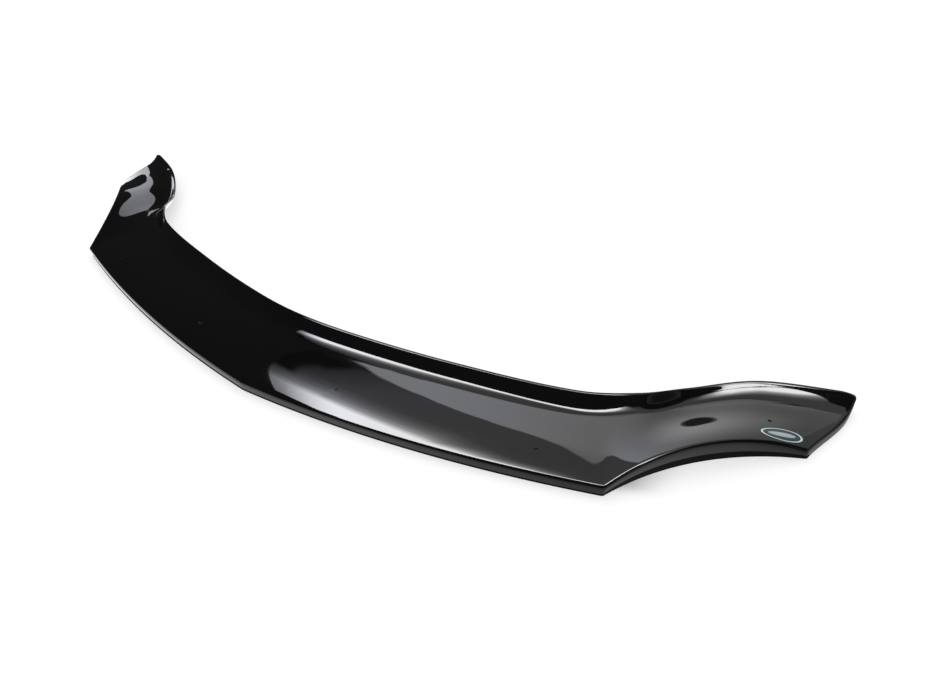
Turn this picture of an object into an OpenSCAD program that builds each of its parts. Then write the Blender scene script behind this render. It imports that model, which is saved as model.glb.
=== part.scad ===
// Hood bug deflector: one acrylic sheet, heated and formed, trimmed flat
// along its lower edge and drilled for its screws.
// Millimetres. +X runs across the vehicle, -Y faces forward, +Z is up.
// The half x > 0 is laid out and the other half mirrors it.

/* [Sheet] */
// Thickness of the acrylic sheet
sheet = 3; // [2:0.5:4]
// Outside radius of the bend from the plate into the turned-down lip
bend_r = 5; // [4.5:0.5:8]
// Height of the plate's edge above the trimmed lower edge, along the front
lip_h = 17; // [14:0.5:24]
// Height of the lip's upright band, from the plate's edge down to its crease
band_h = 13; // [8:0.5:14]
// Lean of the upright band, its foot towards the inside
band_lean = 5; // [0:1:8]
// Lean of the skirt below the crease, its foot towards the inside
skirt_lean = 8; // [2:1:20]
// Lean of the lip along the wing tip's end, below 0 with its foot to the outside
end_lean = -8; // [-12:1:8]

/* [Front] */
// From the middle to a front corner, across
front_half = 488; // [440:1:540]
// Radius of the front's bow, seen from above
front_bow_r = 1800; // [1400:10:3000]
// Sweep back of each half at the nose
nose_sweep = 4; // [0:0.5:8]

/* [Lamp arches] */
// From a front corner to the wing tip, across
arch_w = 184; // [150:1:220]
// From a front corner to the wing tip, towards the rear
arch_d = 188; // [150:1:220]
// Radius of the arch, seen from above
arch_r = 425; // [300:5:900]
// Rise of the plate's edge over the middle of the arch
arch_rise = 20; // [5:1:26]
// Height of the plate's edge at the wing tip
tip_h = 15; // [14:0.5:20]
// Bulge of the wing tip's end, seen from above
end_bulge = 6.5; // [0:0.5:10]

/* [Rim] */
// Angle of the upswept rim to the level
rim_angle = 45; // [30:1:60]
// Radius of the fillet between the plate and the rim
rim_fillet = 22; // [12:1:30]
// Width of the rim's flat beyond the fillet
rim_flat = 16; // [8:1:22]
// Radius of that fillet at the wing tip
tip_fillet = 40; // [20:1:44]
// Width of the rim's flat at the wing tip
tip_flat = 6; // [4:1:16]
// Rim at the middle: inwards from the edge, behind it, height, plate's fall to the edge in degrees
rim_middle = [0, 119.5, 59.5, 34];
// Rim beside the middle, as above
rim_inner = [-10, 120, 55, 33];
// Rim half way to a front corner, as above
rim_quarter = [-25, 124, 47, 28];
// Rim near a front corner, as above
rim_outer = [-43, 122, 41.5, 20];
// Rim where an arch begins, as above
rim_shoulder = [-41, 115, 36.5, 2];
// Rim behind the middle of an arch, as above
rim_arch = [-36, 114, 26, -8];
// Rim along the wing, as above
rim_wing = [-16, 120, 31, -6];
// Rim at the wing tip, as above
rim_tip = [27, 125, 28, 0];

/* [Screw holes] */
// Diameter of a screw hole
hole_d = 5; // [4:0.5:7]
// Inner hole: along the half from the middle, and behind the edge
hole_inner = [136, 32];
// Middle hole: along the half from the middle, and behind the edge
hole_middle = [405, 28];
// Wing hole: along the arch from the front corner, and behind the edge
hole_wing = [208, 47];

/* [Hidden] */

// Steps of the loft: along each half of the front, along an arch, across the
// plate, round the rim's fillet, across its flat, round the lip's bend and
// round a corner of the lip.
front_steps = 28;
arch_steps = 20;
plate_steps = 9;
fillet_steps = 5;
flat_steps = 1;
bend_steps = 4;
turn_steps = 3;
// Where the arch begins, as a share of the way from the middle to the tip
corner_at = 0.62;
half_steps = front_steps + arch_steps;
rows = plate_steps + fillet_steps + flat_steps;
rings = bend_steps + 2;

// Smooth curve through table rows [at, value, ...], read at t in column c
function slope_at(tb, k, c) =
    let (a = max(k - 1, 0), b = min(k + 1, len(tb) - 1))
    (tb[b][c] - tb[a][c]) / (tb[b][0] - tb[a][0]);
function span_of(tb, t, k = 0) =
    (k >= len(tb) - 2 || t < tb[k + 1][0]) ? k : span_of(tb, t, k + 1);
function curve(tb, t, c) =
    let (k = span_of(tb, t), h = tb[k + 1][0] - tb[k][0], u = (t - tb[k][0]) / h)
    hermite(tb[k][c], slope_at(tb, k, c) * h, tb[k + 1][c], slope_at(tb, k + 1, c) * h, u);
function hermite(p0, m0, p1, m1, u) =
    (2 * u ^ 3 - 3 * u ^ 2 + 1) * p0 + (u ^ 3 - 2 * u ^ 2 + u) * m0
    + (3 * u ^ 2 - 2 * u ^ 3) * p1 + (u ^ 3 - u ^ 2) * m1;
function unit(v) = v / norm(v);
function dir(a) = [cos(a), sin(a)];

// The outermost line of the lip, seen from above: the bowed front, then the
// arch, a circle that bites into the plate between front corner and wing tip.
function front_back(x) = x * tan(nose_sweep) + x ^ 2 / (2 * front_bow_r);
corner = [front_half, front_back(front_half)];
tip = corner + [arch_w, arch_d];
arch_half = norm(tip - corner) / 2;
arch_out = dir(atan2(arch_d, arch_w) - 90);
arch_mid = (corner + tip) / 2 + arch_out * sqrt(arch_r ^ 2 - arch_half ^ 2);
arch_turn = asin(arch_half / arch_r);
arch_from = atan2(arch_d, arch_w) + 90 + arch_turn;
function arch_share(s) = (s - corner_at) / (1 - corner_at);
function outline(s) = s <= corner_at
    ? let (x = front_half * s / corner_at) [x, front_back(x)]
    : arch_mid + arch_r * dir(arch_from - 2 * arch_turn * arch_share(s));
front_out_end = atan(tan(nose_sweep) + front_half / front_bow_r) - 90;
arch_out_start = arch_from - 180;
function outward(s) = s == 0 ? -90
    : s < corner_at ? atan(tan(nose_sweep) + front_half * s / corner_at / front_bow_r) - 90
    : arch_out_start - 2 * arch_turn * arch_share(s);

// Stations of the rim: share of the way from middle to tip, then the rim's
// place from the outline's point there, its height and the plate's fall.
function station(at, r) = let (p = outline(at)) [at, p[0] + r[0], p[1] + r[1], r[2], r[3]];
right_stations = [
    station(0, rim_middle), station(0.13, rim_inner), station(0.33, rim_quarter),
    station(0.56, rim_outer), station(0.68, rim_shoulder), station(0.78, rim_arch),
    station(0.89, rim_wing), station(1, rim_tip)];
twin = right_stations[1];
stations = concat([[-twin[0], -twin[1], twin[2], twin[3], twin[4]]], right_stations);
function rim(s) = [curve(stations, s, 1), curve(stations, s, 2), curve(stations, s, 3)];
function edge_fall(s) = curve(stations, s, 4);

// Height of the plate's edge, and the edge itself, one bend inside the outline
function edge_h(s) = s <= corner_at ? lip_h
    : let (w = arch_share(s)) lip_h + (tip_h - lip_h) * w + arch_rise * 4 * w * (1 - w);
function inset(fall) = bend_r * (1 - sin(fall));
tip_out = atan2(rim_tip[1], rim_tip[0]) - 90;
function corner_point(p, a, b, d) = p - dir((a + b) / 2) * d / cos((b - a) / 2);
function edge_plan(s) =
    s == corner_at ? corner_point(corner, front_out_end, arch_out_start, inset(edge_fall(s)))
    : s == 1 ? corner_point(tip, outward(1), tip_out, inset(edge_fall(1)))
    : outline(s) - dir(outward(s)) * inset(edge_fall(s));
function edge(s) = [each edge_plan(s), edge_h(s)];

// One section of the sheet's upper face, from the edge to the rim: a crowned
// plate, the fillet and the flat of the rim. Towards the wing tip the fillet
// opens out and the section bends in plan with the bulged end.
function near_tip(s, from) = let (w = max(0, (s - from) / (1 - from))) w * w * (3 - 2 * w);
function fillet_r(s) = rim_fillet + (tip_fillet - rim_fillet) * near_tip(s, 0.7);
function flat_w(s) = rim_flat + (tip_flat - rim_flat) * near_tip(s, 0.7);
function rim_run(s) = fillet_r(s) * sin(rim_angle) + flat_w(s) * cos(rim_angle);
function rim_up(s) = fillet_r(s) * (1 - cos(rim_angle)) + flat_w(s) * sin(rim_angle);
function on_section(e, way, s, share, h) =
    let (side = unit([way[1], -way[0]]))
    [each ([e[0], e[1]] + way * share + side * end_bulge * near_tip(s, 0.8) * 6.75 * share ^ 2 * (1 - share)), h];
function section(s) =
    let (e = edge(s), r = rim(s), way = [r[0] - e[0], r[1] - e[1]], run = norm(way),
         flat = run - rim_run(s), low = r[2] - rim_up(s))
    [for (j = [0 : rows])
        let (dz = j <= plate_steps
                ? let (u = j / plate_steps)
                  [flat * u, hermite(e[2], tan(edge_fall(s)) * flat, low, 0, u)]
                : j <= plate_steps + fillet_steps
                ? let (a = rim_angle * (j - plate_steps) / fillet_steps)
                  [flat + fillet_r(s) * sin(a), low + fillet_r(s) * (1 - cos(a))]
                : let (l = flat_w(s) * (1 - (j - plate_steps - fillet_steps) / flat_steps))
                  [run - l * cos(rim_angle), r[2] - l * sin(rim_angle)])
        on_section(e, way, s, dz[0] / run, dz[1])];
shares = concat([for (i = [0 : front_steps]) corner_at * i / front_steps],
    [for (i = [1 : arch_steps]) corner_at + (1 - corner_at) * i / arch_steps]);
half_sections = [for (s = shares) section(s)];
function flip(p) = [-p[0], p[1], p[2]];
top = concat([for (i = [half_steps : -1 : 1]) [for (p = half_sections[i]) flip(p)]], half_sections);
last = 2 * half_steps;
function top_out(i, j) = unit(cross(
    top[min(i + 1, last)][j] - top[max(i - 1, 0)][j],
    top[i][min(j + 1, rows)] - top[i][max(j - 1, 0)]));
under = [for (i = [0 : last]) [for (j = [0 : rows]) top[i][j] - sheet * top_out(i, j)]];

// The lip's profile at one place: travel from the plate's edge outwards and
// down round the bend, then the band and the skirt, as [out, height] pairs of
// the outer and the inner face. A low edge has a short band, and its crease
// stays above the trimmed edge.
function lip(h, fall, lean) =
    let (upright = min(band_lean, lean), down = 90 + upright, foot = 90 + lean,
         round = [for (k = [1 : bend_steps]) let (a = fall + (down - fall) * k / bend_steps)
             [bend_r * (sin(a) - sin(fall)), h - bend_r * (cos(fall) - cos(a)), a]],
         b = round[bend_steps - 1],
         crease = max(h - band_h, b[1] / 4),
         c = [b[0] - (b[1] - crease) * tan(upright), crease],
         turn = (down + foot) / 2,
         f = [c[0] - crease * tan(lean), 0])
    concat([for (p = round) [[p[0], p[1]], [p[0], p[1]] - sheet * [sin(p[2]), cos(p[2])]]],
        [[c, c - sheet / cos((foot - down) / 2) * [sin(turn), cos(turn)]],
         [f, f - [sheet / cos(lean), 0]]]);

// Stops round the lip, from the middle to the rim at the tip: [column, row,
// outward angle, height, fall, true at a corner, lean of the skirt]
turns = [for (k = [0 : turn_steps]) k / turn_steps];
right_stops = concat(
    [for (i = [0 : front_steps - 1]) let (s = shares[i])
        [i, 0, outward(s), lip_h, edge_fall(s), false, skirt_lean]],
    [for (t = turns) [front_steps, 0, front_out_end + (arch_out_start - front_out_end) * t,
        lip_h, edge_fall(corner_at), true, skirt_lean]],
    [for (i = [1 : arch_steps - 1]) let (s = shares[front_steps + i])
        [front_steps + i, 0, outward(s), edge_h(s), edge_fall(s), false, skirt_lean]],
    [for (t = turns) [half_steps, 0, outward(1) + (tip_out - outward(1)) * t,
        tip_h, edge_fall(1), true, skirt_lean + (end_lean - skirt_lean) * t]],
    [for (j = [1 : rows]) let (c = half_sections[half_steps],
            d = c[min(j + 1, rows)] - c[j - 1])
        [half_steps, j, atan2(d[1], d[0]) - 90, c[j][2], edge_fall(1), false, end_lean]]);
left_stops = [for (k = [len(right_stops) - 1 : -1 : 1]) let (q = right_stops[k])
    [-q[0], q[1], 180 - q[2], q[3], q[4], q[5], q[6]]];
stops = concat(left_stops, right_stops);
ends = len(stops) - 1;
// The inside of a corner stays short of the corner's own upright axis
function reach(q, o) = q[5] ? max(o, 0.2) : o;
lip_faces = [for (q = stops) let (p = top[q[0] + half_steps][q[1]], out = dir(q[2]), l = lip(q[3], q[4], q[6]))
    [for (face = [0, 1]) [for (g = l) [each ([p[0], p[1]] + out * reach(q, g[face][0])), g[face][1]]]]];

// All points: upper face, under face, outside of the lip, inside of the lip
sheet_points = concat([for (c = top) each c], [for (c = under) each c],
    [for (q = lip_faces) each q[0]], [for (q = lip_faces) each q[1]]);
plate_count = (last + 1) * (rows + 1);
lip_count = (ends + 1) * rings;
function at_plate(face, i, j) = face * plate_count + i * (rows + 1) + j;
function at_lip(face, k, r) = r == 0
    ? at_plate(face, stops[k][0] + half_steps, stops[k][1])
    : 2 * plate_count + face * lip_count + k * rings + r - 1;
function same_start(k) = stops[k][0] == stops[k + 1][0] && stops[k][1] == stops[k + 1][1];
function patch(a, b, c, d) = [[a, c, b], [a, d, c]];
function turned(faces) = [for (f = faces) [f[0], f[2], f[1]]];
function face_of(n) = concat(
    [for (i = [0 : last - 1], j = [0 : rows - 1])
        each patch(at_plate(n, i, j), at_plate(n, i + 1, j), at_plate(n, i + 1, j + 1), at_plate(n, i, j + 1))],
    [for (k = [0 : ends - 1], r = [0 : rings - 1]) each (r == 0 && same_start(k)
        ? [[at_lip(n, k, 0), at_lip(n, k + 1, 1), at_lip(n, k, 1)]]
        : patch(at_lip(n, k, r), at_lip(n, k, r + 1), at_lip(n, k + 1, r + 1), at_lip(n, k + 1, r)))]);
sheet_faces = concat(
    face_of(0),
    turned(face_of(1)),
    [for (k = [0 : ends - 1]) each patch(at_lip(0, k + 1, rings), at_lip(0, k, rings),
        at_lip(1, k, rings), at_lip(1, k + 1, rings))],
    [for (i = [0 : last - 1]) each patch(at_plate(0, i, rows), at_plate(0, i + 1, rows),
        at_plate(1, i + 1, rows), at_plate(1, i, rows))],
    [for (r = [0 : rings - 1]) each patch(at_lip(0, ends, r), at_lip(0, ends, r + 1),
        at_lip(1, ends, r + 1), at_lip(1, ends, r))],
    [for (r = [0 : rings - 1]) each patch(at_lip(0, 0, r + 1), at_lip(0, 0, r),
        at_lip(1, 0, r), at_lip(1, 0, r + 1))]);

// The part's origin: on the trimmed lower edge's level, half way from the
// nose to the rearmost point of the rim
rear = max([for (p = sheet_points) p[1]]);
to_origin = [0, -rear / 2, 0];

// A screw hole's place on the upper face and the sheet's outward direction there
arch_length = 2 * arch_turn * PI / 180 * arch_r;
function plate_point(s, d) =
    let (e = edge(s), r = rim(s), way = [r[0] - e[0], r[1] - e[1]], run = norm(way), flat = run - rim_run(s))
    on_section(e, way, s, d / run,
        hermite(e[2], tan(edge_fall(s)) * flat, r[2] - rim_up(s), 0, d / flat));
function hole_frame(s, d) = [plate_point(s, d),
    unit(cross(plate_point(s + 0.004, d) - plate_point(s - 0.004, d),
        plate_point(s, d + 2) - plate_point(s, d - 2)))];
holes = [
    hole_frame(corner_at * hole_inner[0] / front_half, hole_inner[1]),
    hole_frame(corner_at * hole_middle[0] / front_half, hole_middle[1]),
    hole_frame(corner_at + (1 - corner_at) * hole_wing[0] / arch_length, hole_wing[1])];

module screw_hole(frame) {
    n = frame[1];
    translate(frame[0]) rotate([0, acos(n[2]), atan2(n[1], n[0])])
        cylinder(h = 8 * sheet, d = hole_d, center = true, $fn = 32);
}

module shield() {
    color([0.03, 0.03, 0.035])
    translate(to_origin)
    difference() {
        polyhedron(points = sheet_points, faces = sheet_faces, convexity = 8);
        for (h = holes) {
            screw_hole(h);
            screw_hole([flip(h[0]), flip(h[1])]);
        }
    }
}

shield();
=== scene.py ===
# %% [markdown]
# Hood deflector: the frame
#
# The part is one acrylic sheet, heated, formed over a mould, trimmed and
# drilled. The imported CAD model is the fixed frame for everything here. It says
# where the sheet is, so nothing has to be fitted by eye.

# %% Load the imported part
import math
import bmesh
import bpy
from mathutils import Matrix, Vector


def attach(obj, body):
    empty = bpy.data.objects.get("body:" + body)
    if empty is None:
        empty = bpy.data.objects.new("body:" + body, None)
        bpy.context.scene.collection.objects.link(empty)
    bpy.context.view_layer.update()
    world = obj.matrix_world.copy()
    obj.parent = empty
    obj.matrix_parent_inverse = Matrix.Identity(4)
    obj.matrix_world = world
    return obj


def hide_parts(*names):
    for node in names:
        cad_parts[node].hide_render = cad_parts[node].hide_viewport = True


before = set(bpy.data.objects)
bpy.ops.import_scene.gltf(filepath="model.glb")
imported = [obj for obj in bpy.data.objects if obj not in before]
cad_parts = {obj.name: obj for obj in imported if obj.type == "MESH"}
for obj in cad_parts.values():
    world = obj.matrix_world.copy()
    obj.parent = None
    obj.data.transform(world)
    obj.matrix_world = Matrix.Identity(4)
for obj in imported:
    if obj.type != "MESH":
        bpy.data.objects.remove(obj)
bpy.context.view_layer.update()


def nothing_selected():
    if bpy.context.mode != "OBJECT":
        bpy.ops.object.mode_set(mode="OBJECT")
    bpy.ops.object.select_all(action="DESELECT")


def only(piece):
    nothing_selected()
    piece.select_set(True)
    bpy.context.view_layer.objects.active = piece


nothing_selected()

# %% [markdown]
# Camera
#
# The photograph looks down on the shield from the front right with a fairly
# wide lens, so the near wing looks much larger than the far one. The place,
# the tilt and the lens come from matching the two mirror halves of the shield.

# %% Camera
LENS_MM = 26.0
CAMERA_AT = (0.62324, -0.60796, 0.62848)
CAMERA_TILT = 50.501
CAMERA_TURN = 32.892
bpy.ops.object.camera_add(
    location=CAMERA_AT,
    rotation=(math.radians(CAMERA_TILT), 0.0, math.radians(CAMERA_TURN)))
camera = bpy.context.active_object
camera.name = "camera"
camera.data.lens = LENS_MM
camera.data.sensor_width = 36.0
camera.data.clip_start = 0.01
camera.data.clip_end = 60.0
bpy.context.scene.camera = camera
print("camera", [round(v, 3) for v in camera.location], "lens", camera.data.lens)

# %% [markdown]
# Shader sums in plain Python
#
# A material is a graph of nodes. Long sums are hard to read as nodes, so a
# small wrapper lets them be written as Python expressions, and each operation
# adds its own Math node.

# %% Shader helper
class Value:
    """A socket that can be used in sums."""

    def __init__(self, tree, socket):
        self.tree = tree
        self.socket = socket

    def math(self, operation, *others):
        node = self.tree.nodes.new("ShaderNodeMath")
        node.operation = operation
        for place, other in zip(node.inputs, (self,) + others):
            if isinstance(other, Value):
                self.tree.links.new(other.socket, place)
            else:
                place.default_value = other
        return Value(self.tree, node.outputs[0])

    def __add__(self, other): return self.math("ADD", other)
    def __radd__(self, other): return self.math("ADD", other)
    def __sub__(self, other): return self.math("SUBTRACT", other)
    def __mul__(self, other): return self.math("MULTIPLY", other)
    def __rmul__(self, other): return self.math("MULTIPLY", other)
    def __truediv__(self, other): return self.math("DIVIDE", other)

    def __rsub__(self, other):
        node = self.tree.nodes.new("ShaderNodeMath")
        node.operation = "SUBTRACT"
        node.inputs[0].default_value = other
        self.tree.links.new(self.socket, node.inputs[1])
        return Value(self.tree, node.outputs[0])

    def above(self, low, high):
        """0 below low, 1 above high, and a smooth climb between them."""
        node = self.tree.nodes.new("ShaderNodeMapRange")
        node.interpolation_type = "SMOOTHSTEP"
        self.tree.links.new(self.socket, node.inputs["Value"])
        node.inputs["From Min"].default_value = low
        node.inputs["From Max"].default_value = high
        return Value(self.tree, node.outputs["Result"])


class Shader:
    """A material's or the world's nodes, from one call for any node."""

    def __init__(self, owner):
        owner.use_nodes = True
        self.tree = owner.node_tree
        self.tree.nodes.clear()

    def node(self, kind, settings=None, out=0, **values):
        """A new node with its settings. Inputs go by name, or by number as n0, n1 and so on."""
        made = self.tree.nodes.new(kind)
        for name, setting in (settings or {}).items():
            if name == "stops":
                ramp = made.color_ramp
                while len(ramp.elements) < len(setting):
                    ramp.elements.new(0.5)
                for element, (at, shade) in zip(ramp.elements, setting):
                    element.position = at
                    element.color = (shade, shade, shade, 1.0)
            elif name == "interpolation":
                made.color_ramp.interpolation = setting
            else:
                setattr(made, name, setting)
        for name, value in values.items():
            numbered = name[0] == "n" and name[1:].isdigit()
            place = made.inputs[int(name[1:]) if numbered else name.replace("_", " ")]
            if isinstance(value, Value):
                self.tree.links.new(value.socket, place)
            else:
                place.default_value = value
        return Value(self.tree, made.outputs[out])

    def place(self, centre=(0, 0, 0), turn=(0, 0, 0)):
        """Object coordinates, counted from a centre and turned about it."""
        at = self.node("ShaderNodeTexCoord", out="Object")
        return self.node("ShaderNodeMapping", {"vector_type": "TEXTURE"}, Vector=at,
                         Location=centre, Rotation=turn)

    def axes(self, vector):
        split = self.tree.nodes.new("ShaderNodeSeparateXYZ")
        self.tree.links.new(vector.socket, split.inputs[0])
        return [Value(self.tree, split.outputs[k]) for k in range(3)]

    def finish(self, surface, kind="ShaderNodeOutputMaterial"):
        out = self.tree.nodes.new(kind)
        self.tree.links.new(surface.socket, out.inputs["Surface"])


# %% [markdown]
# Studio: white ground, dark room
#
# The shield lies on a white floor that runs out into a white background, and
# the floor keeps its soft shadow. Black gloss has hardly any colour of its
# own: what is seen on it is the room. So the room gets as much care as the
# sheet: a dark room all round, a big soft light overhead, a white sweep
# behind, and black flags at the right.

# %% World and floor
SOFT_FILL = 0.76
PAPER_GREY = 0.52
PAPER_GLOW = 0.58
HALF_DEPTH, NOSE_SLOPE, NOSE_CURVE = 0.2076, 0.0699, 0.2778   # the sheet's front edge, seen from above

world = bpy.data.worlds.new("white_world")
bpy.context.scene.world = world
sky = Shader(world)
path = sky.node("ShaderNodeLightPath", out="Is Camera Ray")
glossy = sky.node("ShaderNodeLightPath", out="Is Glossy Ray")
through = sky.node("ShaderNodeLightPath", out="Is Transmission Ray")
seen = path.math("MAXIMUM", glossy.math("MAXIMUM", through))
sky.finish(sky.node("ShaderNodeBackground", Color=(1, 1, 1, 1),
                    Strength=seen * (1.0 - SOFT_FILL) + SOFT_FILL), "ShaderNodeOutputWorld")

bpy.ops.mesh.primitive_plane_add(size=14.0, location=(0, 1.5, 0))
floor = bpy.context.active_object
bpy.ops.object.transform_apply(location=True, rotation=False, scale=False)
floor.name = "floor"
paper = bpy.data.materials.new("white_paper_floor")
sh = Shader(paper)
camera_ray = sh.node("ShaderNodeLightPath", out="Is Camera Ray")
glossy_ray = sh.node("ShaderNodeLightPath", out="Is Glossy Ray")
x, y, z = sh.axes(sh.place())
# Reflections see a brighter paper at the left than at the right.
mirrored = 2.4 - x.above(-0.75, 0.1) * 1.6 - x.above(0.15, 0.6) * 0.35
# The camera sees it glow a little, but not under the sheet, where this leaves painted shade, so the screw
# holes look dark.
across = x.math("ABSOLUTE")
behind_front = y + HALF_DEPTH - across * NOSE_SLOPE - x * x * NOSE_CURVE
painted_shade_under_sheet = (behind_front.above(0.008, 0.03) * (1.0 - behind_front.above(0.06, 0.11))
         * (1.0 - across.above(0.46, 0.56)))
matt = sh.node("ShaderNodeBsdfDiffuse", Color=(PAPER_GREY, PAPER_GREY, PAPER_GREY, 1))
glow = sh.node("ShaderNodeEmission", Color=(1, 1, 1, 1),
               Strength=camera_ray * PAPER_GLOW * (1.0 - painted_shade_under_sheet))
lit_paper = sh.node("ShaderNodeAddShader", n0=matt, n1=glow)
sh.finish(sh.node("ShaderNodeMixShader", n0=glossy_ray, n1=lit_paper,
                  n2=sh.node("ShaderNodeEmission", Color=(1, 1, 1, 1), Strength=mirrored)))
floor.data.materials.append(paper)
print("world fill", SOFT_FILL, "floor", [round(v, 1) for v in floor.dimensions])

# %% [markdown]
# Cards and flags
#
# Photographers light black gloss with large white cards and darken it with
# black flags. Each card here is a flat sheet that only reflections see, so the
# floor's plain light doesn't change with it. The long overhead card is bright
# at its front and falls off towards the back. Two cards beside the left wing
# give it its pale patches. At the right a dim card and two black flags shape
# the highlight on the rim. The light from the left is a little cooler.

# %% Helper for cards
COOL_LIGHT = (0.975, 0.99, 1.07, 1)
PLAIN_LIGHT = (1, 1, 1, 1)


def reflections_only(card):
    card.visible_camera = False
    card.visible_diffuse = False
    card.visible_transmission = False
    card.visible_volume_scatter = False
    card.visible_shadow = False


def card(name, corners, shade):
    """A flat card through its corners, with its emission from shade(shader)."""
    bpy.ops.mesh.primitive_circle_add(vertices=len(corners), radius=1.0, fill_type="NGON")
    made = bpy.context.active_object
    for vertex, corner in zip(made.data.vertices, corners):
        vertex.co = corner
    return lit(made, name, shade)


def curtain(name, lines, heights, shade):
    """A card with a strip between each two lines of points, and a height for each point of a line."""
    bpy.ops.mesh.primitive_grid_add(x_subdivisions=len(lines) - 1, y_subdivisions=len(heights) - 1,
                                    size=2.0, calc_uvs=True)
    made = bpy.context.active_object
    for vertex in made.data.vertices:
        line = lines[round((vertex.co.x + 1) / 2 * (len(lines) - 1))]
        back = round((vertex.co.y + 1) / 2 * (len(heights) - 1))
        vertex.co = (line[0], line[1 + back], heights[back])
    return lit(made, name, shade)


def lit(made, name, shade):
    """Names a card and gives it its light, cooler at the left."""
    made.name = name
    made.data.update()
    finish = bpy.data.materials.new(name)
    sh = Shader(finish)
    x, y, z = sh.axes(sh.place())
    daylight = sh.node("ShaderNodeMix", {"data_type": "RGBA"}, out="Result",
                       Factor=x.above(-0.9, 0.2), A=COOL_LIGHT, B=PLAIN_LIGHT)
    sh.finish(sh.node("ShaderNodeEmission", Color=daylight, Strength=shade(sh)))
    made.data.materials.append(finish)
    reflections_only(made)
    print(name, [round(v, 2) for v in made.dimensions])
    return made


# %% Overhead softbox
BOX_Z = 1.413
BOX_LEVEL = 20.0
SOFTBOX = [  # x, then y of the front edge, where it starts to fade, where it is dim, and the back edge
    (-0.92, -0.95, -0.54, 0.20, 0.85), (-0.55, -0.93, -0.53, 0.22, 1.07), (-0.10, -0.86, -0.53, 0.22, 1.04),
    (0.10, -0.74, -0.46, -0.02, 0.95), (0.25, -0.60, -0.36, -0.09, 0.80), (0.38, -0.44, -0.22, 0.04, 0.70),
    (0.60, -0.26, 0.02, 0.26, 0.64), (0.80, -0.23, 0.02, 0.28, 0.76), (0.93, -0.22, 0.02, 0.30, 0.95),
    (1.00, -0.24, 0.00, 0.30, 2.00), (1.25, -0.34, -0.11, 0.27, 2.00), (1.60, -0.60, -0.35, 0.03, 2.00),
    (1.90, -0.72, -0.57, -0.22, 2.00), (2.05, -0.72, -0.64, -0.33, 2.00)]


def overhead_shade(sh):
    x, y, z = sh.axes(sh.place())
    across, back, w = sh.axes(sh.node("ShaderNodeUVMap", out="UV"))
    fall = sh.node("ShaderNodeValToRGB", {"interpolation": "LINEAR", "stops": [
        (0.0, 1.0), (0.333, 1.0), (0.352, 0.82), (0.37, 0.66), (0.415, 0.33), (0.49, 0.15),
        (0.57, 0.08), (0.667, 0.045), (0.78, 0.038), (1.0, 0.034)]}, Fac=back)
    # It is weaker at the left end, and a corner is cut off softly at each side.
    side = x.above(-0.92, -0.48) * 0.82 + 0.18
    left_cut = 1.0 - (1.0 - x.above(-0.81, -0.74)) * y.above(-0.22, -0.04)
    right_cut = 1.0 - (x + y * 0.7).above(1.50, 1.70) * (1.0 - y.above(0.0, 0.15))
    return fall * side * left_cut * right_cut * BOX_LEVEL


curtain("overhead_softbox", SOFTBOX, (BOX_Z,) * 4, overhead_shade)


# %% White sweep behind, and the ceiling that joins it
SWEEP_Y = 2.09
SWEEP_TOP = 2.78


def sweep_level(x):
    return 2.2 - x.above(-1.4, 1.3) * 1.5


def sweep_shade(sh):
    x, y, z = sh.axes(sh.place())
    return sweep_level(x) + z.above(0.9, 2.5) * 1.0


def ceiling_shade(sh):
    x, y, z = sh.axes(sh.place())
    across, back, w = sh.axes(sh.node("ShaderNodeUVMap", out="UV"))
    start = (0.55 + back.above(0.0, 0.09) * 0.45) * x.above(-0.86, -0.76)
    seam = back.above(0.015, 0.035) * (1.0 - back.above(0.04, 0.06))
    return (sweep_level(x) + 1.0) * (start - seam * 0.15)


card("white_sweep", [(-1.91, SWEEP_Y, 0.0), (1.9, SWEEP_Y, 0.0), (1.9, SWEEP_Y, SWEEP_TOP),
                     (-1.91, SWEEP_Y, SWEEP_TOP)], sweep_shade)
curtain("pale_ceiling", [(line[0], line[4], SWEEP_Y) for line in SOFTBOX if line[0] < 0.95],
        (BOX_Z, SWEEP_TOP), ceiling_shade)


# %% White cards by the left wing
LEFT_CARD = [(-0.16, 0.27), (-0.05, 0.25), (0.30, 0.10), (0.60, 0.10), (0.60, 1.00), (0.10, 1.00),
             (0.10, 0.58), (0.08, 0.50), (0.0, 0.415), (-0.10, 0.325), (-0.155, 0.29)]
LEFT_LEVEL = 1.7
WING_EDGE_LEVEL = 2.4
card("left_card", [(-1.315 + 0.67 * along, 0.75 + 0.74 * along, up + 0.013) for along, up in LEFT_CARD],
     lambda sh: LEFT_LEVEL)


def by_the_wing(points):
    """Corners on an upright plane beside the wing, from mm along it and mm up."""
    return [(-0.686 - 0.000725 * along, 0.185 - 0.000688 * along, up * 0.001) for along, up in points]


card("wing_edge_card", by_the_wing([(90, 14), (90, 20), (76, 22), (66, 27), (57, 28), (44, 28), (33, 29),
                                    (27, 31), (22, 37), (18, 31), (20, 14)]), lambda sh: WING_EDGE_LEVEL)


# %% Dim card and black flags at the right
DIM_Z = BOX_Z - 0.01
FLAG_Z = 0.513
BLACK_LEVEL = 0.02


def dim_shade(sh):
    x, y, z = sh.axes(sh.place())
    return 0.64 - x.above(1.5, 5.4) * 0.58


def level(z, points):
    """Corners of a card that lies level at height z."""
    return [(x, y, z) for x, y in points]


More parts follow.
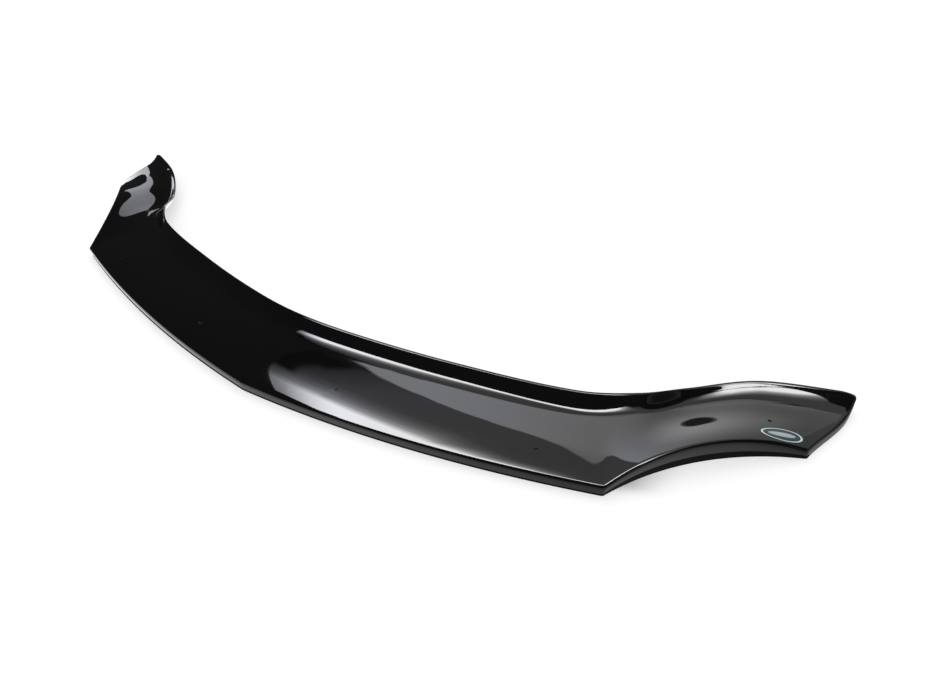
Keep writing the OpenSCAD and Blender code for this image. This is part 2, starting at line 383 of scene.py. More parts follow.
card("dim_card", level(DIM_Z, [(1.50, 0.0), (1.60, -0.15), (2.4, -0.2), (6.4, -0.4), (6.4, 2.0),
                               (1.5, 2.0)]), dim_shade)
card("corner_flag", level(FLAG_Z - 0.001, [(0.66, -0.085), (0.66, -0.30), (1.06, -0.36), (1.06, -0.165),
                                           (0.97, -0.155), (0.92, -0.125)]), lambda sh: BLACK_LEVEL)
card("right_flag", level(FLAG_Z, [(1.00, -0.116), (0.99, -0.08), (0.97, 0.0), (0.955, 0.06), (0.925, 0.14),
                                  (0.90, 0.20), (0.92, 0.5), (1.6, 0.5), (1.6, -0.116)]),
     lambda sh: BLACK_LEVEL)


# %% Room behind the cards
def room_shade(sh):
    x, y, z = sh.axes(sh.place())
    right = x.above(1.5, 4.5) * (1.0 - z.above(0.5, 1.3))
    return right * 0.45 + 0.03


bpy.ops.mesh.primitive_ico_sphere_add(subdivisions=4, radius=8.0, location=(0, 0, 0))
room = bpy.context.active_object
room.name = "dark_room"
dark = bpy.data.materials.new("dark_room")
sh = Shader(dark)
sh.finish(sh.node("ShaderNodeEmission", Color=(1, 1, 1, 1), Strength=room_shade(sh)))
room.data.materials.append(dark)
reflections_only(room)

# %% Key light
bpy.ops.object.light_add(type="SUN", location=(-1.0, 1.2, 2.4),
                         rotation=(math.radians(-28), math.radians(-26), 0))
key = bpy.context.active_object
key.name = "soft_key"
key.data.energy = 0.70
key.data.angle = math.radians(55)
key.visible_glossy = False
print("key light", key.data.energy, "angle", round(math.degrees(key.data.angle)))

# %% [markdown]
# The sheet's shape
#
# The same few named sizes as in the CAD source give the formed sheet here. x
# runs across the vehicle, y back from the nose's outermost line, z up from the
# trimmed edge, all in millimetres until the points go into the mesh. The half
# from the middle to the right wing tip is laid out by a share s from 0 to 1.
# A few details go beyond the CAD, for the way the light falls: the rim's last
# millimetres flare, its flat is 2 mm wider but narrows beside the arch, and the
# lip leans less at the wing's end.

# %% Sizes
SHEET = 3.0
BEND_R = 5.0
LIP_H = 17.0
BAND_H = 13.0
BAND_LEAN = 5.0
SKIRT_LEAN = 8.0
END_LEAN = -8.0
FRONT_HALF = 488.0
FRONT_BOW_R = 1800.0
NOSE_SWEEP = 4.0
ARCH_W = 184.0
ARCH_D = 188.0
ARCH_R = 425.0
ARCH_RISE = 20.0
TIP_H = 15.0
END_BULGE = 6.5
RIM_ANGLE = 45.0
RIM_FILLET = 22.0
RIM_FLAT = 18.0
TIP_FILLET = 40.0
TIP_FLAT = 6.0
FLARE = 2.2            # the rim's outer part, turned down to FLARE_ANGLE
FLARE_TURN = 1.4
FLARE_ANGLE = 18.0
RIM = [  # share of the way, inwards, behind the edge, height, plate's fall
    (0.00, 0, 119.5, 59.5, 34), (0.13, -10, 120, 55, 33), (0.33, -25, 124, 47, 28),
    (0.56, -43, 122, 41.5, 20), (0.68, -41, 115, 36.5, 2), (0.78, -36, 114, 26, -8),
    (0.89, -16, 120, 31, -6), (1.00, 27, 125, 28, 0)]
HOLE_D = 5.0
HOLES = [(136.0, 32.0), (405.0, 28.0), (208.0, 47.0)]
REAR = 415.224
CORNER_AT = 0.62       # share of the way at which the arch begins
FLAT_DIP = 4.4         # how much narrower the rim's flat is beside the arch
DIP_AT, DIP_REACH = 0.77, 0.17
EASE_FROM = 0.7        # where the rim begins to change towards the wing tip
BULGE_FROM = 0.8
END_FROM = 0.97        # the columns that take part in the wing's end
END_DROP = 3.6         # how far the rim's rear corner drops
END_DROP_REACH = 13.0
END_UPRIGHT = 11.0     # degrees by which the end lip leans less at the rim

# %% Outline seen from above
def sin(a): return math.sin(math.radians(a))
def cos(a): return math.cos(math.radians(a))
def tan(a): return math.tan(math.radians(a))
def heading(a): return Vector((cos(a), sin(a)))
def angle_of(v): return math.degrees(math.atan2(v[1], v[0]))


def front_back(x):
    return x * tan(NOSE_SWEEP) + x * x / (2 * FRONT_BOW_R)


corner = Vector((FRONT_HALF, front_back(FRONT_HALF)))
tip = corner + Vector((ARCH_W, ARCH_D))
arch_half = (tip - corner).length / 2
arch_out = heading(angle_of((ARCH_W, ARCH_D)) - 90)
arch_mid = (corner + tip) / 2 + arch_out * math.sqrt(ARCH_R ** 2 - arch_half ** 2)
arch_turn = math.degrees(math.asin(arch_half / ARCH_R))
arch_from = angle_of((ARCH_W, ARCH_D)) + 90 + arch_turn
front_end = math.degrees(math.atan(tan(NOSE_SWEEP) + FRONT_HALF / FRONT_BOW_R)) - 90
arch_start = arch_from - 180
tip_out = angle_of((RIM[-1][1], RIM[-1][2])) - 90


def arch_share(s):
    return (s - CORNER_AT) / (1 - CORNER_AT)


def outline(s):
    if s <= CORNER_AT:
        x = FRONT_HALF * s / CORNER_AT
        return Vector((x, front_back(x)))
    return arch_mid + ARCH_R * heading(arch_from - 2 * arch_turn * arch_share(s))


def outward(s):
    if s == 0:
        return -90.0
    if s < CORNER_AT:
        return math.degrees(math.atan(tan(NOSE_SWEEP) + FRONT_HALF * s / CORNER_AT / FRONT_BOW_R)) - 90
    return arch_start - 2 * arch_turn * arch_share(s)


print("arch turns", round(2 * arch_turn, 1), "degrees; corner turns", round(arch_start - front_end, 1))

# %% Rim and section
def smooth(table, t, c):
    k = 0
    while k < len(table) - 2 and t >= table[k + 1][0]:
        k += 1

    def slope(i):
        a, b = max(i - 1, 0), min(i + 1, len(table) - 1)
        return (table[b][c] - table[a][c]) / (table[b][0] - table[a][0])
    h = table[k + 1][0] - table[k][0]
    return hermite(table[k][c], slope(k) * h, table[k + 1][c], slope(k + 1) * h, (t - table[k][0]) / h)


def hermite(p0, m0, p1, m1, u):
    return ((2 * u ** 3 - 3 * u ** 2 + 1) * p0 + (u ** 3 - 2 * u ** 2 + u) * m0
            + (3 * u ** 2 - 2 * u ** 3) * p1 + (u ** 3 - u ** 2) * m1)


stations = []
for at, into, behind, height, fall in RIM:
    p = outline(at)
    stations.append((at, p[0] + into, p[1] + behind, height, fall))
twin = stations[1]
stations.insert(0, (-twin[0], -twin[1], twin[2], twin[3], twin[4]))


def rim(s):
    return Vector([smooth(stations, s, c) for c in (1, 2, 3)])


def edge_fall(s):
    return smooth(stations, s, 4)


def inset(fall):
    return BEND_R * (1 - sin(fall))


ARCH_LENGTH = 2 * math.radians(arch_turn) * ARCH_R
EASE = 12.0 / ARCH_LENGTH
TIP_EASE = 20.0
tip_turn = tip_out - outward(1)
tip_back = inset(edge_fall(1)) * tan(tip_turn / 2)


def edge_height(s):
    w = arch_share(s)
    left = (1 - w) * ARCH_LENGTH
    if left < TIP_EASE + tip_back:
        w = 1 - max(0.0, left - tip_back) * (1 + tip_back / TIP_EASE) / ARCH_LENGTH
    rise = LIP_H + (TIP_H - LIP_H) * w + ARCH_RISE * 4 * w * (1 - w)
    if w >= EASE:
        return rise
    if w <= -EASE:
        return LIP_H
    start = TIP_H - LIP_H + ARCH_RISE * 4
    return LIP_H + start * (w + EASE) ** 2 / (4 * EASE)


def near_tip(s, start):
    w = max(0.0, (s - start) / (1 - start))
    return w * w * (3 - 2 * w)


def fillet_r(s): return RIM_FILLET + (TIP_FILLET - RIM_FILLET) * near_tip(s, EASE_FROM)


def flat_w(s):
    low = max(0.0, 1 - ((s - DIP_AT) / DIP_REACH) ** 2)
    return RIM_FLAT + (TIP_FLAT - RIM_FLAT) * near_tip(s, EASE_FROM) - FLAT_DIP * low * low


def from_rim(left):
    """How far inwards and down a point lies that is this far from the rim, along the sheet."""
    turn_r = FLARE_TURN / math.radians(RIM_ANGLE - FLARE_ANGLE)
    a = FLARE_ANGLE + (RIM_ANGLE - FLARE_ANGLE) * min(1.0, max(0.0, (left - FLARE) / FLARE_TURN))
    first, last = min(left, FLARE), max(0.0, left - FLARE - FLARE_TURN)
    return (first * cos(FLARE_ANGLE) + turn_r * (sin(a) - sin(FLARE_ANGLE)) + last * cos(RIM_ANGLE),
            first * sin(FLARE_ANGLE) + turn_r * (cos(FLARE_ANGLE) - cos(a)) + last * sin(RIM_ANGLE))


def rim_run(s): return fillet_r(s) * sin(RIM_ANGLE) + from_rim(flat_w(s))[0]
def rim_up(s): return fillet_r(s) * (1 - cos(RIM_ANGLE)) + from_rim(flat_w(s))[1]


def mitre(p, a, b, d):
    return p - heading((a + b) / 2) * d / cos((b - a) / 2)


def edge_plan(s):
    if s == 1:
        return mitre(tip, outward(1), tip_out, inset(edge_fall(1)))
    return outline(s) - heading(outward(s)) * inset(edge_fall(s))


def sheet_point(s, row, plan=None):
    """A point on the upper face. row is (zone, share of the zone)."""
    e2 = plan or edge_plan(s)
    ez = edge_height(s)
    r = rim(s)
    way = Vector((r[0] - e2[0], r[1] - e2[1]))
    run = way.length
    flat = run - rim_run(s)
    low = r[2] - rim_up(s)
    zone, share = row
    if zone == "plate":
        d, h = flat * share, hermite(ez, tan(edge_fall(s)) * flat, low, 0, share)
    elif zone == "behind":
        d = share
        h = hermite(ez, tan(edge_fall(s)) * flat, low, 0, d / flat)
    elif zone == "fillet":
        a = RIM_ANGLE * share
        d, h = flat + fillet_r(s) * sin(a), low + fillet_r(s) * (1 - cos(a))
    else:
        flare = FLARE + FLARE_TURN
        left = share if zone == "flare" else flare + (flat_w(s) - flare) * (1 - share)
        inwards, down = from_rim(left)
        to_end = max(0.0, 1 - (1 - arch_share(s)) * ARCH_LENGTH / END_DROP_REACH)
        d, h = run - inwards, r[2] - down - END_DROP * to_end ** 2 * (1 - left / flat_w(s))
    k = d / run
    side = Vector((way[1], -way[0])).normalized()
    # 6.75 makes the bulge's highest point 1, as k * k * (1 - k) reaches 4 / 27.
    p = e2 + way * k + side * END_BULGE * near_tip(s, BULGE_FROM) * 6.75 * k * k * (1 - k)
    return Vector((p[0], p[1], h))


print("middle section", [round(v, 1) for v in sheet_point(0, ("plate", 0))],
      "to", [round(v, 1) for v in rim(0)])

# %% [markdown]
# The blank
#
# The flat blank is a grid, like the sheet before it is heated. Its columns run
# from lip to rim and its rows run round the front. Close columns are kept for
# the corners, which have a small radius, so the grid is uneven on purpose.

# %% Columns and rows
CORNER_R = 2.0
FRONT_COLUMNS = 112
ARCH_COLUMNS = 66
TURN_COLUMNS = 7
PLATE_ROWS = 24
FILLET_ROWS = 14
FLAT_ROWS = 5
TIP_R = 2.0
TIP_SHARES = (0, 0.25, 0.5, 0.75, 1.0)

turn = arch_start - front_end
mid_out = (arch_start + front_end) / 2
corner_edge = mitre(corner, front_end, arch_start, inset(edge_fall(CORNER_AT)))
corner_hub = corner_edge - heading(mid_out) * CORNER_R / cos(turn / 2)

columns = []
for i in range(FRONT_COLUMNS):
    s = CORNER_AT * i / FRONT_COLUMNS
    columns.append((s, None))
for k in range(TURN_COLUMNS):
    share = k / (TURN_COLUMNS - 1)
    columns.append((CORNER_AT + (share - 0.5) * 0.004,
                    corner_hub + heading(front_end + turn * share) * CORNER_R))
for i in range(1, ARCH_COLUMNS):
    columns.append((CORNER_AT + (1 - CORNER_AT) * i / ARCH_COLUMNS, None))
tip_tangent = TIP_R * tan(tip_turn / 2)
for share in TIP_SHARES[:0:-1]:
    columns.append((1 - (tip_back + share * tip_tangent) / ARCH_LENGTH * (1 - CORNER_AT), None))
columns.append((1.0, None))
half = len(columns) - 1

plate_run = (Vector(rim(1)[:2]) - edge_plan(1)).length - rim_run(1)
rows = [("plate", share * tip_tangent / plate_run) for share in TIP_SHARES]
tip_part = tip_tangent / plate_run
rows += [("plate", tip_part + (1 - tip_part) * j / PLATE_ROWS) for j in range(1, PLATE_ROWS + 1)]
rows += [("fillet", j / FILLET_ROWS) for j in range(1, FILLET_ROWS + 1)]
rows += [("flat", j / FLAT_ROWS) for j in range(1, FLAT_ROWS + 1)]
rows += [("flare", left) for left in (FLARE + FLARE_TURN * 0.67, FLARE + FLARE_TURN * 0.33,
                                      FLARE, FLARE / 2, 0.0)]
print(2 * half + 1, "columns", len(rows), "rows")

# %% Form the sheet
nothing_selected()
width, depth = 2 * half, len(rows) - 1
bpy.ops.mesh.primitive_grid_add(x_subdivisions=width, y_subdivisions=depth, size=2.0,
                                location=(0, 0, 0))
shield = bpy.context.active_object
shield.name = "formed_shield"
TO_METRES = 0.001


def placed(p):
    return Vector((p[0] * TO_METRES, (p[1] - REAR / 2) * TO_METRES, p[2] * TO_METRES))


ROUND_REACH = 6
tip_edge = edge_plan(1)
tip_mid_out = (outward(1) + tip_out) / 2
tip_hub = tip_edge - heading(tip_mid_out) * TIP_R / cos(tip_turn / 2)
along_arch = -Vector((-sin(outward(1)), cos(outward(1))))
along_end = Vector((-sin(tip_out), cos(tip_out)))


def tip_rounding(s, d):
    """How far the rounded tip corner pulls a point in, seen from above."""
    a = max(0.0, (1 - s) / (1 - CORNER_AT) * ARCH_LENGTH - tip_back)
    if a > ROUND_REACH or d > ROUND_REACH:
        return Vector((0, 0))

    def pull(t, along, out):
        if t >= tip_tangent:
            return Vector((0, 0))
        angle = tip_mid_out + (out - tip_mid_out) * t / tip_tangent
        return tip_hub + heading(angle) * TIP_R - (tip_edge + along * t)
    fa, fd = (1 - a / ROUND_REACH) ** 2, (1 - d / ROUND_REACH) ** 2
    both = tip_hub + heading(tip_mid_out) * TIP_R - tip_edge
    return pull(a, along_arch, outward(1)) * fd + pull(d, along_end, tip_out) * fa - both * fa * fd


form = {}
for i, (s, plan) in enumerate(columns):
    for j, row in enumerate(rows):
        p = sheet_point(s, row, plan)
        if s > END_FROM and row[0] == "plate":
            e2 = edge_plan(s)
            q = tip_rounding(s, (Vector(p[:2]) - e2).length)
            p = Vector((p[0] + q[0], p[1] + q[1], p[2]))
        form[(i, j)] = p
mesh = shield.data
column_of = mesh.attributes.new("column", "INT", "POINT")
row_of = mesh.attributes.new("row", "INT", "POINT")
mesh.attributes.new("ring", "INT", "POINT")
for vertex in mesh.vertices:
    i = round((vertex.co.x + 1) / 2 * width) - half
    j = round((vertex.co.y + 1) / 2 * depth)
    p = form[(abs(i), j)]
    column_of.data[vertex.index].value = i
    row_of.data[vertex.index].value = j
    vertex.co = placed((math.copysign(1, i) * p[0] if i else 0.0, p[1], p[2]))
mesh.update()
print("formed", len(mesh.vertices), "points")

# %% [markdown]
# Drilled holes
#
# A hole cut by a boolean would leave long thin faces that show as a blemish in
# the gloss. Here a small block of faces is taken out around each hole, and its
# border is extruded in to a true circle on the sheet's own surface, so the
# gloss runs undisturbed up to the hole.

# %% Helper for work in edit mode
def open_edit(piece, kind):
    only(piece)
    bpy.ops.object.mode_set(mode="EDIT")
    bpy.ops.mesh.select_mode(type=kind)
    bpy.ops.mesh.select_all(action="DESELECT")
    work = bmesh.from_edit_mesh(piece.data)
    return [work] + [work.verts.layers.int[name] for name in ("column", "row", "ring")]


def extrude_ring(piece, chosen, goes_to, number):
    """Extrudes the chosen border edges and moves each new point to its place."""
    work, column, row, ring = open_edit(piece, "EDGE")
    for edge in work.edges:
        if edge.is_boundary and chosen(edge, column, row):
            edge.select_set(True)
    bmesh.update_edit_mesh(piece.data)
    bpy.ops.mesh.extrude_edges_move()
    work = bmesh.from_edit_mesh(piece.data)
    column, row, ring = [work.verts.layers.int[name] for name in ("column", "row", "ring")]
    moved = [v for v in work.verts if v.select]
    for v in moved:
        v.co = goes_to(v, column, row)
        v[ring] = number
    bmesh.update_edit_mesh(piece.data)
    return len(moved)


# %% Open the six screw holes
BLOCK = 3                    # cells of the grid taken out on each side of a hole's middle
SHARE_STEP = 0.002
RING_GAPS = (3.0, 0.9, 0)    # how far each ring lies outside the hole's edge


def drill_frame(s, d):
    """The place on the sheet, and its change with the share s and with the distance d."""
    at = sheet_point(s, ("behind", d))
    before, after = [sheet_point(s + step, ("behind", d)) for step in (-SHARE_STEP, SHARE_STEP)]
    ds = (after - before) / (2 * SHARE_STEP)
    dd = (sheet_point(s, ("behind", d + 1)) - sheet_point(s, ("behind", d - 1))) / 2
    return at, ds, dd


hole_shares = [CORNER_AT * HOLES[0][0] / FRONT_HALF, CORNER_AT * HOLES[1][0] / FRONT_HALF,
               CORNER_AT + (1 - CORNER_AT) * HOLES[2][0] / ARCH_LENGTH]
bores = []
for (across, behind), s in zip(HOLES, hole_shares):
    at, ds, dd = drill_frame(s, behind)
    near = min(((i, j) for i in range(BLOCK, half - BLOCK) for j in range(BLOCK, 4 + PLATE_ROWS)),
               key=lambda ij: (form[ij] - at).length)
    normal = ds.cross(dd).normalized()
    first = ds.normalized()
    second = normal.cross(first)
    det = ds.length_squared * dd.length_squared - ds.dot(dd) ** 2

    def on_sheet(angle, radius, at=at, ds=ds, dd=dd, first=first, second=second, det=det, s=s, behind=behind):
        want = (first * math.cos(angle) + second * math.sin(angle)) * radius
        a, b = want.dot(ds), want.dot(dd)
        du = (a * dd.length_squared - b * ds.dot(dd)) / det
        dv = (b * ds.length_squared - a * ds.dot(dd)) / det
        return sheet_point(s + du, ("behind", behind + dv))

    for side in (1, -1):
        ci, cj = side * near[0], near[1]
        work, column, row, ring_no = open_edit(shield, "FACE")
        for face in work.faces:
            if all(abs(v[column] - ci) <= BLOCK and abs(v[row] - cj) <= BLOCK for v in face.verts):
                face.select_set(True)
        bmesh.update_edit_mesh(mesh)
        bpy.ops.mesh.delete(type="FACE")
        ring = {}
        steps = range(-BLOCK, BLOCK)
        border = ([(BLOCK, k) for k in steps] + [(-k, BLOCK) for k in steps]
                  + [(-BLOCK, -k) for k in steps] + [(k, -BLOCK) for k in steps])
        start = form[(near[0] + BLOCK, near[1])] - form[near]
        turned = math.atan2(start.dot(second), start.dot(first))
        for k, (di, dj) in enumerate(border):
            ring[(di, dj)] = turned + (k - BLOCK) * 2 * math.pi / len(border)
        bores.append((placed((side * at[0], at[1], at[2])), Vector((side * normal[0], normal[1], normal[2]))))
        for gap in RING_GAPS:
            radius = HOLE_D / 2 + gap

            def in_block(edge, column, row):
                return all(abs(v[column] - ci) <= BLOCK and abs(v[row] - cj) <= BLOCK for v in edge.verts)

            def to_circle(v, column, row):
                key = (side * (v[column] - ci), v[row] - cj)
                p = on_sheet(ring[key], radius)
                return placed((side * p[0], p[1], p[2]))
            count = extrude_ring(shield, in_block, to_circle, 0 if gap else -1)
    print("hole", across, behind, "at", [round(v, 1) for v in at], count, "points round")

# %% [markdown]
# The turned-down lip
#
# After forming, the sheet's edge bends down all round the front, the lamp
# arches and the wing ends. It is made as the real bend is: the border is drawn
# on, ring after ring, round a small radius, down an upright band and out to a
# short skirt that ends level on the trimming table.

# %% Profile of the lip
BEND_RINGS = 7
CREASE_SOFT = 1.2


def lip_rings(h, named_fall, fall, lean):
    """Offsets (outwards, height) of the lip's rings below an edge at height h."""
    upright = min(BAND_LEAN, lean)
    down = 90 + upright
    bend = BEND_R * (sin(down) - sin(named_fall)) / (sin(down) - sin(fall))
    rings = []
    for k in range(1, BEND_RINGS + 1):
        a = fall + (down - fall) * k / BEND_RINGS
        rings.append((bend * (sin(a) - sin(fall)), h - bend * (cos(fall) - cos(a))))
    out, z = rings[-1]
    crease = max(h - BAND_H, z / 4)
    at_crease = (out - (z - crease) * tan(upright), crease)
    foot = (at_crease[0] - crease * tan(lean), 0.0)
    soft = min(CREASE_SOFT, crease * 0.4, (z - crease) * 0.4)

    def between(p, q, share):
        return (p[0] + (q[0] - p[0]) * share, p[1] + (q[1] - p[1]) * share)
    rings.append(between((out, z), at_crease, 0.5))
    rings.append(between(at_crease, (out, z), soft / (z - crease)))
    rings.append(between(at_crease, foot, soft / crease))
    rings.append(between(at_crease, foot, 0.55))
    rings.append(foot)
    return rings


border = ([(-half, j) for j in range(depth, 0, -1)] + [(i, 0) for i in range(-half, half + 1)]
          + [(half, j) for j in range(1, depth + 1)])


def on_half(ij):
    i, j = ij
    p = form[(abs(i), j)]
    return Vector((p[0] if i > 0 else -p[0] if i else 0.0, p[1]))


def slope(i, j):
    """The sheet's slope in x and y just inside a border point."""
    if j == 0 and i < half:
        along = form[(i + 1, 0)] - form[(abs(i - 1), 0)] if i else Vector((1, 0, 0))
        across = form[(i, 1)] - form[(i, 0)]
    else:
        along = form[(i, min(j + 1, depth))] - form[(i, j - 1)]
        across = form[(i - 1, j)] - form[(i, j)]
    up = along.cross(across)
    return Vector((-up[0] / up[2], -up[1] / up[2]))


NEAR = 6    # the fall is blended over so many points on each side of the tip's corner


def true_fall(i, j, out):
    """How steeply the sheet falls outwards there, even round the tip's corner."""
    if j == 0 and i <= half - NEAR:
        down = slope(i, 0)
    elif j >= NEAR:
        down = slope(half, j)
    else:
        share = 0.5 * (i - half + NEAR) / NEAR if j == 0 else 0.5 + 0.5 * j / NEAR
        down = slope(half - NEAR, 0).lerp(slope(half, NEAR), share)
    return -math.degrees(math.atan(down[0] * abs(out[0]) + down[1] * out[1]))


lip_at = {}
for k, (i, j) in enumerate(border):
    before, after = on_half(border[max(k - 1, 0)]), on_half(border[min(k + 1, len(border) - 1)])
    run = after - before
    out = Vector((run[1], -run[0])).normalized()
    s = columns[abs(i)][0]
    bearing = angle_of((abs(out[0]), out[1]))
    lean = SKIRT_LEAN
    if s > END_FROM:
        share = min(1.0, max(0.0, (bearing - outward(1)) / tip_turn))
        lean = SKIRT_LEAN + (END_LEAN - SKIRT_LEAN) * share
        if j > 0:
            lean += END_UPRIGHT * (j / depth) ** 2
    lip_at[(i, j)] = (on_half((i, j)), out,
                      lip_rings(form[(abs(i), j)][2], edge_fall(s), true_fall(abs(i), j, out), lean))
RINGS = len(lip_at[(0, 0)][2])
print(len(border), "points round the lip,", RINGS, "rings down")

# %% Draw the lip down
for ring in range(RINGS):
    def lowest_border(edge, column, row):
        a, b = [(v[column], v[row]) for v in edge.verts]
        return a != b and a in lip_at and b in lip_at

    def down_the_lip(v, column, row):
        at, out, profile = lip_at[(v[column], v[row])]
        reach, z = profile[ring]
        return placed((at[0] + out[0] * reach, at[1] + out[1] * reach, z))

    extrude_ring(shield, lowest_border, down_the_lip, ring + 1)
bpy.ops.object.mode_set(mode="OBJECT")
print("lip drawn", len(mesh.vertices), "points")

# %% [markdown]
# Contact shade
#
# Close to the foot the ground is dark, because the sheet keeps the light off
# it, and the upright lip mirrors that as a dark line along its bottom. A thin
# black ribbon on the floor, seen by reflections only, gives the same line.

# %% Ribbon along the foot
RIBBON_W = 2.4
RIBBON_END_W = 4.0
RIBBON_ROWS = 6    # how far the ribbon goes round each wing's end


def ribbon_width(i, j):
    if j:
        return RIBBON_END_W
    w = max(0.0, arch_share(columns[abs(i)][0]))
    return RIBBON_W + 3.0 * w + 16.0 * w * (1 - w)


foot = border[depth - RIBBON_ROWS:RIBBON_ROWS - depth]
bpy.ops.mesh.primitive_grid_add(x_subdivisions=len(foot) - 1, y_subdivisions=1, size=2.0,
                                location=(0, 0, 0))
ribbon = bpy.context.active_object
ribbon.name = "contact_shade"
for vertex in ribbon.data.vertices:
    key = foot[round((vertex.co.x + 1) / 2 * (len(foot) - 1))]
    at, out, profile = lip_at[key]
    reach = profile[-1][0] + (ribbon_width(*key) if vertex.co.y < 0 else 0.0)
    vertex.co = placed((at[0] + out[0] * reach, at[1] + out[1] * reach, 0.2))
shade = bpy.data.materials.new("contact_shade")
sh = Shader(shade)
sh.finish(sh.node("ShaderNodeEmission", Color=(1, 1, 1, 1), Strength=0.06))
ribbon.data.materials.append(shade)
reflections_only(ribbon)
print("contact shade", len(foot), "steps")

# %% [markdown]
# Thickness and polished edges
#
# Solidify gives the surface the real 3 mm of the sheet, inwards, so the outer
# face stays on the mould's size and the holes become true bores. Cut acrylic
# edges are scraped and flame polished, which leaves a small radius.

# %% Give the sheet its thickness
only(shield)
wall = shield.modifiers.new("sheet", "SOLIDIFY")
wall.thickness = SHEET * TO_METRES
wall.offset = -1.0
wall.use_even_offset = True
wall.use_rim = True
bpy.ops.object.modifier_apply(modifier="sheet")
work, column, row, ring = open_edit(shield, "VERT")
for v in work.verts:
    if v[ring] == RINGS:
        v.select_set(True)
bmesh.update_edit_mesh(mesh)
bpy.ops.transform.resize(value=(1.0, 1.0, 0.0), center_override=(0.0, 0.0, 0.0))
bpy.ops.object.mode_set(mode="OBJECT")
print("walls", len(mesh.polygons), "faces")

# %% Polish the edges
RIM_ROUND, FOOT_ROUND, BORE_ROUND = 1.1, 0.4, 0.15
SHARP = math.radians(40)
work, column, row, ring = open_edit(shield, "EDGE")
round_off = work.edges.layers.float.new("bevel_weight_edge")
for edge in work.edges:
    a, b = edge.verts
    if len(edge.link_faces) != 2 or edge.calc_face_angle() < SHARP:
        continue
    if a[row] == depth and b[row] == depth:
        edge[round_off] = 1.0
    elif a[ring] == RINGS and b[ring] == RINGS:
        edge[round_off] = FOOT_ROUND / RIM_ROUND
    elif a[ring] == -1 and b[ring] == -1:
        edge[round_off] = BORE_ROUND / RIM_ROUND
bmesh.update_edit_mesh(mesh)
bpy.ops.object.mode_set(mode="OBJECT")
edge_round = shield.modifiers.new("flame_polish", "BEVEL")
edge_round.width = RIM_ROUND * TO_METRES
edge_round.segments = 4
edge_round.limit_method = "WEIGHT"
edge_round.harden_normals = True
bpy.ops.object.shade_smooth()
bpy.ops.object.modifier_apply(modifier="flame_polish")
for layer in ("column", "row", "ring"):
    mesh.attributes.remove(mesh.attributes[layer])
triangles = sum(len(f.vertices) - 2 for f in mesh.polygons)
print("shield", triangles, "triangles", [round(v, 4) for v in shield.dimensions])

# %% [markdown]
# Black acrylic
#
# The sheet is cast acrylic, coloured right through, so the colour is nearly
# black and the surface is nearly a mirror. Forming leaves a very faint
# waviness in the gloss, and handling leaves specks of dust and fine wipe
# marks. These change the roughness and the bump a little, and the colour where
# there is dust. The bores stay matt, because a drill leaves no gloss.

# %% Acrylic finish
acrylic = bpy.data.materials.new("gloss_black_acrylic")
sh = Shader(acrylic)
at = sh.place()
waves = sh.node("ShaderNodeTexNoise", Vector=at, Scale=26.0, Detail=1.0, Roughness=0.4)
peel = sh.node("ShaderNodeTexNoise", Vector=at, Scale=420.0, Detail=2.0, Roughness=0.5)
haze = sh.node("ShaderNodeTexNoise", Vector=at, Scale=9.0, Detail=4.0, Roughness=0.6)
specks = sh.node("ShaderNodeTexVoronoi", Vector=at, Scale=160.0, Randomness=1.0, out="Distance")
grains = 1.0 - specks.above(0.035, 0.075)
clusters = sh.node("ShaderNodeTexNoise", Vector=at, Scale=14.0, Detail=2.0).above(0.52, 0.72)
dust = grains * clusters
roughness = haze.above(0.35, 0.8) * 0.035 + 0.022 + dust * 0.25
tint = sh.node("ShaderNodeMix", {"data_type": "RGBA"}, out="Result", Factor=dust * 0.5,
               A=(0.0042, 0.0042, 0.0048, 1), B=(0.09, 0.09, 0.10, 1))
ripple = sh.node("ShaderNodeBump", Height=waves * 0.9 + peel * 0.03, Strength=0.10, Distance=0.0012)
gloss = sh.node("ShaderNodeBsdfPrincipled", Base_Color=tint, Roughness=roughness, IOR=1.49, Normal=ripple)
sh.finish(gloss)
bore_finish = bpy.data.materials.new("matt_bore")
sh = Shader(bore_finish)
sh.finish(sh.node("ShaderNodeBsdfPrincipled", Base_Color=(0.004, 0.004, 0.004, 1), Roughness=0.75,
                  Specular_IOR_Level=0.15))
mesh.materials.clear()
mesh.materials.append(acrylic)
mesh.materials.append(bore_finish)
BORE_REACH, BORE_AROUND = 0.005, 0.0030
for face in mesh.polygons:
    for centre, axis in bores:
        gap = face.center - centre
        aside = (gap - axis * gap.dot(axis)).length
        if gap.length < BORE_REACH and aside < BORE_AROUND and abs(face.normal.dot(axis)) < 0.8:
            face.material_index = 1
print("bore faces", sum(face.material_index for face in mesh.polygons))
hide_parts("shield")
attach(shield, "root")
print("acrylic", len(acrylic.node_tree.nodes), "nodes")

# %% [markdown]
# Oval label
#
# A thin oval film sticks to the right wing. It is a disc that is laid down on
# the curved sheet point by point, so it follows the surface. It is plain: a
# pale ring and a pale oval on a dark field, with no words.

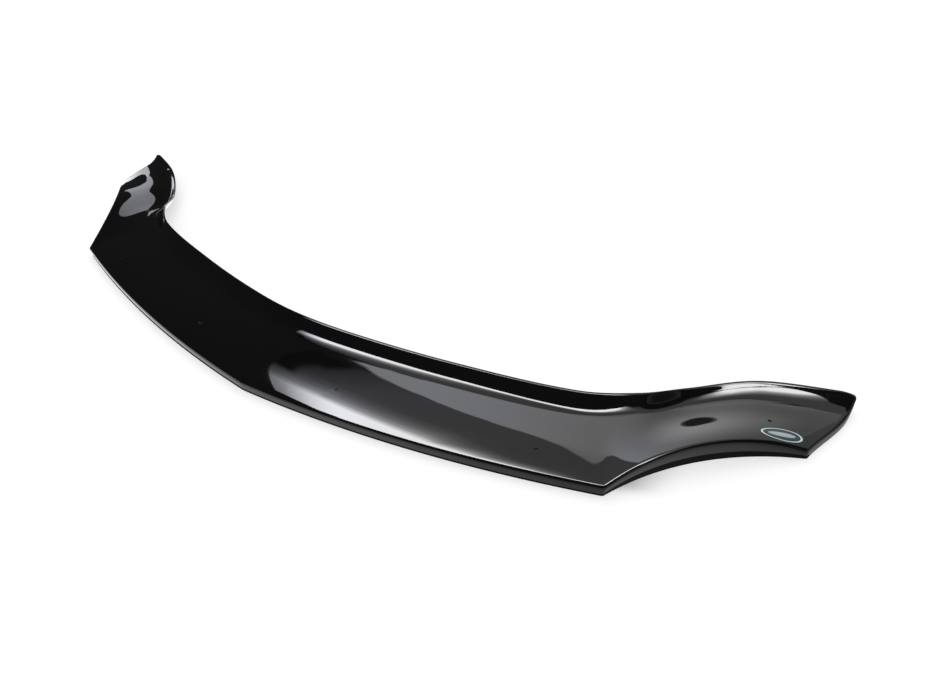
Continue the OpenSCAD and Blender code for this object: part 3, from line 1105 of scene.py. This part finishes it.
# %% Lay the film on the sheet
LABEL_CENTRE = (0.6376, 0.0814)
LABEL_TURN = 27.8
LABEL_LONG, LABEL_WIDE = 0.0272, 0.0108
FILM_SHEET = 0.0002
FILM_LIFT = 0.00022
nothing_selected()
bpy.ops.mesh.primitive_circle_add(vertices=72, radius=1.0, fill_type="NGON", location=(0, 0, 0))
film = bpy.context.active_object
film.name = "oval_film"
bpy.ops.object.mode_set(mode="EDIT")
bpy.ops.mesh.select_mode(type="FACE")
for step in range(7):
    bpy.ops.mesh.select_all(action="DESELECT")
    work = bmesh.from_edit_mesh(film.data)
    max(work.faces, key=lambda face: len(face.verts)).select_set(True)   # the wide face in the middle
    bmesh.update_edit_mesh(film.data)
    bpy.ops.mesh.inset(thickness=0.13, depth=0.0)
bpy.ops.object.mode_set(mode="OBJECT")
for vertex in film.data.vertices:
    long, wide = vertex.co.x * LABEL_LONG, vertex.co.y * LABEL_WIDE
    x = LABEL_CENTRE[0] + long * cos(LABEL_TURN) - wide * sin(LABEL_TURN)
    y = LABEL_CENTRE[1] + long * sin(LABEL_TURN) + wide * cos(LABEL_TURN)
    found, place, normal, face = shield.ray_cast((x, y, 0.2), (0, 0, -1))
    vertex.co = place + normal * FILM_LIFT
film.data.update()
only(film)
back = film.modifiers.new("film", "SOLIDIFY")
back.thickness = FILM_SHEET
back.offset = -1.0
bpy.ops.object.modifier_apply(modifier="film")
bpy.ops.object.shade_smooth_by_angle(angle=math.radians(40))
print("film", len(film.data.polygons), "faces", [round(v, 4) for v in film.dimensions])

# %% Film finish
print_film = bpy.data.materials.new("printed_film")
sh = Shader(print_film)
at = sh.place((LABEL_CENTRE[0], LABEL_CENTRE[1], 0.02), (0, 0, math.radians(LABEL_TURN)))
x, y, z = sh.axes(at)
x, y = x / LABEL_LONG, y / LABEL_WIDE
r = (x * x + y * y).math("SQRT")
ring = r.above(0.86, 0.88) * (1.0 - r.above(0.95, 0.97))
inner_x, inner_y = x / 0.64, y / 0.34
centre = 1.0 - (inner_x * inner_x + inner_y * inner_y).math("SQRT").above(0.96, 1.04)
ink = sh.node("ShaderNodeTexNoise", Vector=at, Scale=900.0, Detail=2.0)
pale = ring.math("MAXIMUM", centre * 0.55) * (ink * 0.3 + 0.8)
colour = sh.node("ShaderNodeMix", {"data_type": "RGBA"}, out="Result", Factor=pale,
                 A=(0.010, 0.022, 0.028, 1), B=(0.62, 0.76, 0.80, 1))
sh.finish(sh.node("ShaderNodeBsdfPrincipled", Base_Color=colour, Roughness=ink * 0.1 + 0.22, IOR=1.49))
film.data.materials.append(print_film)
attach(film, "root")
print("film material", len(print_film.node_tree.nodes), "nodes")

# %% Finish
bpy.context.scene.view_settings.view_transform = "Standard"
